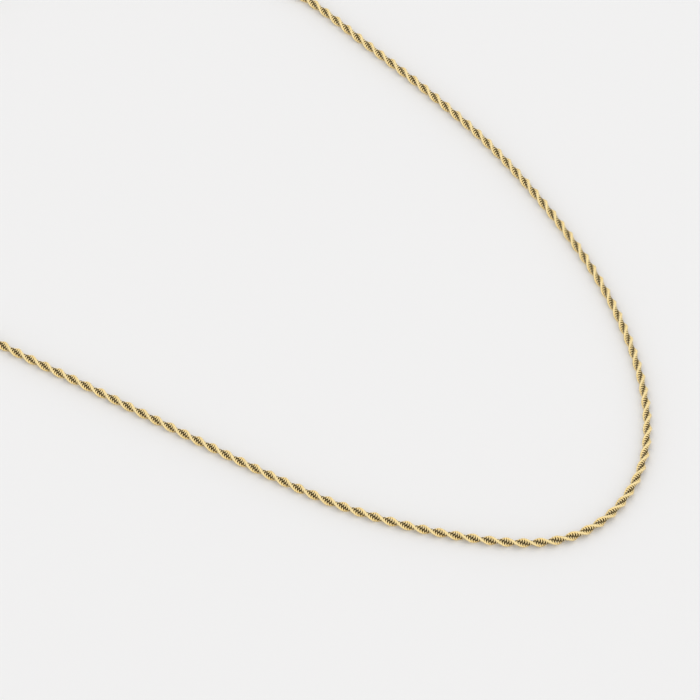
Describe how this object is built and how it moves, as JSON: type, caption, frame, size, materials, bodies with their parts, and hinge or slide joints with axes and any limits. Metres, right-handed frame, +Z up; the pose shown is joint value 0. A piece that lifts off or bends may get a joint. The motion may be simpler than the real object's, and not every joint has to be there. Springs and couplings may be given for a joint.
{
  "type": "rope chain necklace",
  "caption": "Gold rope chain necklace lying closed on a flat surface, with end cups, jump rings and a ring clasp at the back.",
  "frame": {"origin": "on the surface that the necklace lies on, under the middle of its overall box", "axes": "+X along the clasp, +Y from the front of the loop to the clasp at the back, +Z up from the surface"},
  "size_m": [0.1191, 0.1993, 0.0034],
  "materials": {
    "rope_gold": "bright gold plate over fine round wire links, darker between the links",
    "fitting_gold": "bright polished gold plate with fine handling marks"
  },
  "bodies": {
    "root": {"rope_chain": "rope_gold", "end_cap_left": "fitting_gold", "end_cap_right": "fitting_gold", "jump_ring_left": "fitting_gold", "jump_ring_right": "fitting_gold", "clasp": "fitting_gold"}
  },
  "joints": []
}
